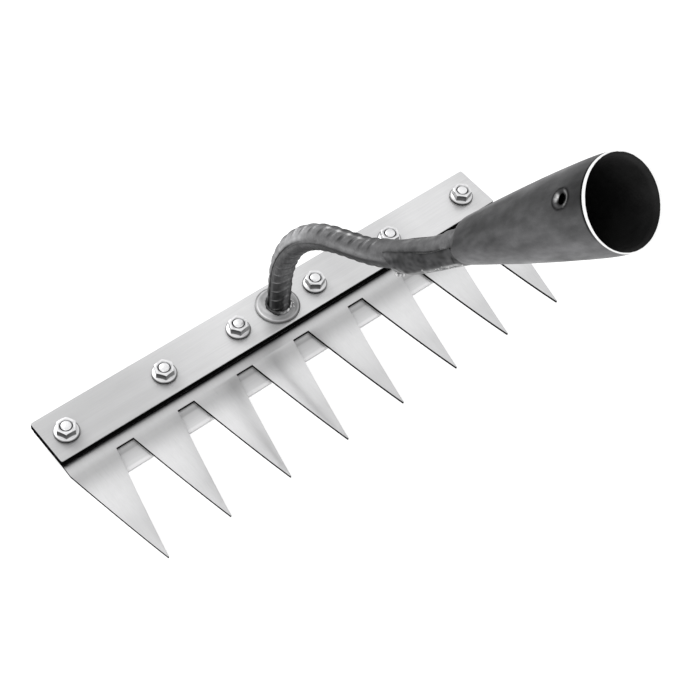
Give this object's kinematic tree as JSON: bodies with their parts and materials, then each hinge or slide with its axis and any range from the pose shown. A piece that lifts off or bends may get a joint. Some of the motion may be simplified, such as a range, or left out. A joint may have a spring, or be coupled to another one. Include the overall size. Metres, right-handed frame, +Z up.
{
  "type": "weeding rake head",
  "caption": "Rake head for weeding: a blade with long triangular teeth bolted under a flat bar, with a ribbed swan neck welded to it and a tapered socket for a wooden handle.",
  "frame": {"origin": "middle of the base of the bounding box, on the plane that the tooth tips and bolt heads stand on", "axes": "+X along the bar, -Y the way the teeth point, +Z up, the way the neck leaves the bar"},
  "size_m": [0.31, 0.2226, 0.2918],
  "materials": {
    "bar_steel": "bright flat bar with a fine grain along its length and dark cut edges",
    "blade_steel": "bright sheet, fine grain, dark cut edges",
    "strip_steel": "bright sheet, fine grain",
    "bolt_zinc": "bright zinc plate, satin",
    "nut_zinc": "bright zinc plate, satin",
    "washer_zinc": "bright rolled steel, satin",
    "neck_scale": "dark hot-rolled mill scale, half matt, ribs rubbed brighter",
    "socket_scale": "dark mottled mill scale with a bright cut rim",
    "weld_metal": "rough grey weld with bright spatter"
  },
  "bodies": {
    "root": {"top_bar": "bar_steel", "toothed_blade": "blade_steel", "backing_strip": "strip_steel", "bolt_1": "bolt_zinc", "bolt_2": "bolt_zinc", "bolt_3": "bolt_zinc", "bolt_4": "bolt_zinc", "bolt_5": "bolt_zinc", "bolt_6": "bolt_zinc", "nut_1": "nut_zinc", "nut_2": "nut_zinc", "nut_3": "nut_zinc", "nut_4": "nut_zinc", "nut_5": "nut_zinc", "nut_6": "nut_zinc", "neck_washer": "washer_zinc", "neck_rod": "neck_scale", "neck_weld": "weld_metal", "socket": "socket_scale", "socket_weld": "weld_metal", "tongue_weld": "weld_metal"}
  },
  "joints": []
}
